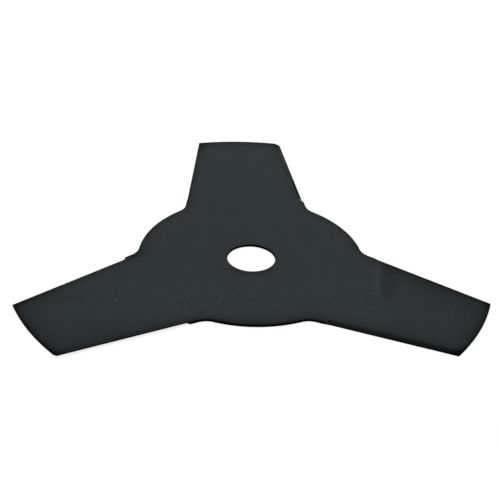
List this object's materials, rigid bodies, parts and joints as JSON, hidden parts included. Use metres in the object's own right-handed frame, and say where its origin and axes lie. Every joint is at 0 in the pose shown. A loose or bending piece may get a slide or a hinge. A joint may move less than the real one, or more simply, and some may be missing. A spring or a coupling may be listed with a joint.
{
  "type": "brush cutter blade",
  "caption": "Flat steel brush cutter blade: round hub with an arbor hole, and tapering arms with a bevel ground along both edges.",
  "frame": {"origin": "on the axis of the arbor hole, halfway through the plate's thickness", "axes": "+Z along the axis of the arbor hole, square to both faces; +Y along the middle of one arm"},
  "size_m": [0.2412, 0.2112, 0.0014],
  "materials": {
    "black_paint": "semi-matt black paint on steel, bare steel showing in chips at the ends of the grinding"
  },
  "bodies": {
    "root": {"blade": "black_paint"}
  },
  "joints": []
}
